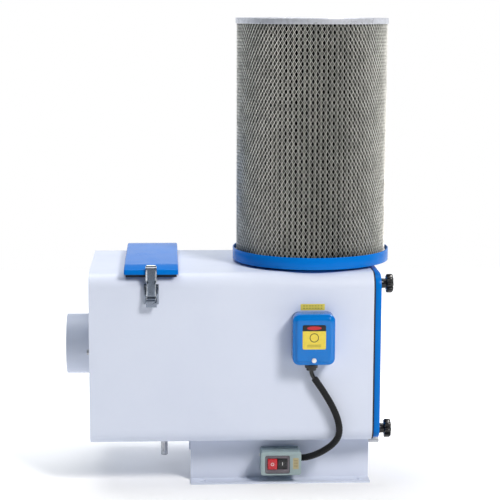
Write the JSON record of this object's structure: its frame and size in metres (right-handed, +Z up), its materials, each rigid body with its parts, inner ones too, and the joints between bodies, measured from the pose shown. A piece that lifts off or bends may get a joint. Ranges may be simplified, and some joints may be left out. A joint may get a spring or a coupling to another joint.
{
  "type": "dust collector",
  "caption": "Floor-standing dust and oil-mist collector: box casing on a channel base, round side inlet, lift-out pre-filter, fan, and a pleated cartridge in a mesh sleeve on top.",
  "frame": {"origin": "on the floor, at the centre of the four floor bolts", "axes": "+X from the round inlet to the end cover, +Y from the switch side to the back, +Z up"},
  "size_m": [0.636, 0.3775, 0.893],
  "materials": {
    "white_paint": "fine powder coat",
    "blue_paint": "gloss powder coat",
    "grey_paint": "satin paint",
    "zinc": "zinc plated",
    "chrome": "bright chrome",
    "copper_core": "varnished winding and core",
    "black_plastic": "moulded, matt",
    "black_rubber": "foam and rubber",
    "knitted_mesh": "knitted wire pack",
    "filter_paper": "pleated media",
    "mesh_steel": "expanded metal",
    "switch_plastic": "moulded, satin",
    "frame_plastic": "moulded, satin",
    "red_plastic": "gloss",
    "ivory_plastic": "moulded",
    "yellow_label": "laminated label"
  },
  "bodies": {
    "frame": {"base": "white_paint", "casing_shell": "white_paint", "inlet_panel": "white_paint", "inlet_duct": "white_paint", "cassette_chute": "white_paint", "bulkhead": "white_paint", "tray_collar": "blue_paint", "junction_base": "blue_paint", "junction_lid": "blue_paint", "motor_housing": "grey_paint", "end_shields": "grey_paint", "motor_stand": "grey_paint", "base_bolts": "zinc", "inlet_screws": "zinc", "inlet_cone": "zinc", "motor_bearings": "zinc", "motor_bolts": "zinc", "tie_rod": "zinc", "weld_nuts": "zinc", "box_screws": "zinc", "drain_pipes": "zinc", "latch_plate": "chrome", "stator": "copper_core", "cable_gland": "black_plastic", "collar_gasket": "black_rubber", "cartridge_seal": "black_rubber", "cover_gasket": "black_rubber", "inner_cable": "black_rubber", "conduit": "black_rubber", "switch_body": "switch_plastic", "switch_cover": "switch_plastic", "switch_frame": "frame_plastic", "terminal_block": "ivory_plastic", "labels": "yellow_label"},
    "fan": {"fan_wheel": "zinc", "fan_hub": "grey_paint", "wheel_bolt": "zinc", "motor_shaft": "zinc", "rotor": "zinc"},
    "cassette": {"hatch_cap": "blue_paint", "hatch_gasket": "black_rubber", "cassette_frame": "zinc", "cassette_mesh": "knitted_mesh"},
    "lever": {"latch_lever": "chrome", "claw_pin": "chrome"},
    "claw": {"latch_claw": "chrome"},
    "cartridge": {"cartridge_bottom_cap": "zinc", "cartridge_core": "zinc", "cartridge_media": "filter_paper", "cartridge_mesh": "mesh_steel", "cartridge_top_cap": "zinc", "hand_nut_washer": "black_rubber"},
    "nut": {"hand_nut": "zinc"},
    "cover": {"end_cover": "blue_paint"},
    "knob_a": {"knob_front_top": "black_plastic"},
    "knob_b": {"knob_back_top": "black_plastic"},
    "knob_c": {"knob_front_bottom": "black_plastic"},
    "knob_d": {"knob_back_bottom": "black_plastic"},
    "stop": {"stop_button": "red_plastic"},
    "start": {"start_button": "black_plastic"}
  },
  "joints": [
    {"name": "fan_spin", "type": "hinge", "parent": "frame", "child": "fan", "pos_m": [-0.1, 0, 0.251], "axis": [1, 0, 0], "continuous": true},
    {"name": "cassette_lift", "type": "slide", "parent": "frame", "child": "cassette", "axis": [0, 0, 1], "range_m": [0, 0.335]},
    {"name": "lever_turn", "type": "hinge", "parent": "frame", "child": "lever", "pos_m": [-0.248, -0.17, 0.388], "axis": [-1, 0, 0], "range_deg": [0, 100]},
    {"name": "claw_turn", "type": "hinge", "parent": "lever", "child": "claw", "pos_m": [-0.248, -0.1745, 0.372], "axis": [-1, 0, 0], "range_deg": [-115, 0]},
    {"name": "cartridge_lift", "type": "slide", "parent": "frame", "child": "cartridge", "axis": [0, 0, 1], "range_m": [0, 0.47]},
    {"name": "nut_turn", "type": "hinge", "parent": "cartridge", "child": "nut", "pos_m": [0.066, 0, 0.878], "axis": [0, 0, 1], "continuous": true},
    {"name": "cover_pull", "type": "slide", "parent": "frame", "child": "cover", "axis": [1, 0, 0], "range_m": [0, 0.1]},
    {"name": "knob_a_turn", "type": "hinge", "parent": "cover", "child": "knob_a", "pos_m": [0.195, -0.142, 0.393], "axis": [1, 0, 0], "continuous": true},
    {"name": "knob_b_turn", "type": "hinge", "parent": "cover", "child": "knob_b", "pos_m": [0.195, 0.142, 0.393], "axis": [1, 0, 0], "continuous": true},
    {"name": "knob_c_turn", "type": "hinge", "parent": "cover", "child": "knob_c", "pos_m": [0.195, -0.142, 0.109], "axis": [1, 0, 0], "continuous": true},
    {"name": "knob_d_turn", "type": "hinge", "parent": "cover", "child": "knob_d", "pos_m": [0.195, 0.142, 0.109], "axis": [1, 0, 0], "continuous": true},
    {"name": "stop_press", "type": "slide", "parent": "frame", "child": "stop", "axis": [0, 1, 0], "range_m": [0, 0.003]},
    {"name": "start_press", "type": "slide", "parent": "frame", "child": "start", "axis": [0, 1, 0], "range_m": [-0.003, 0]}
  ],
  "couplings": [
    {"joint": "claw_turn", "follows": "lever_turn", "ratio": -1.15},
    {"joint": "start_press", "follows": "stop_press", "ratio": -1}
  ]
}
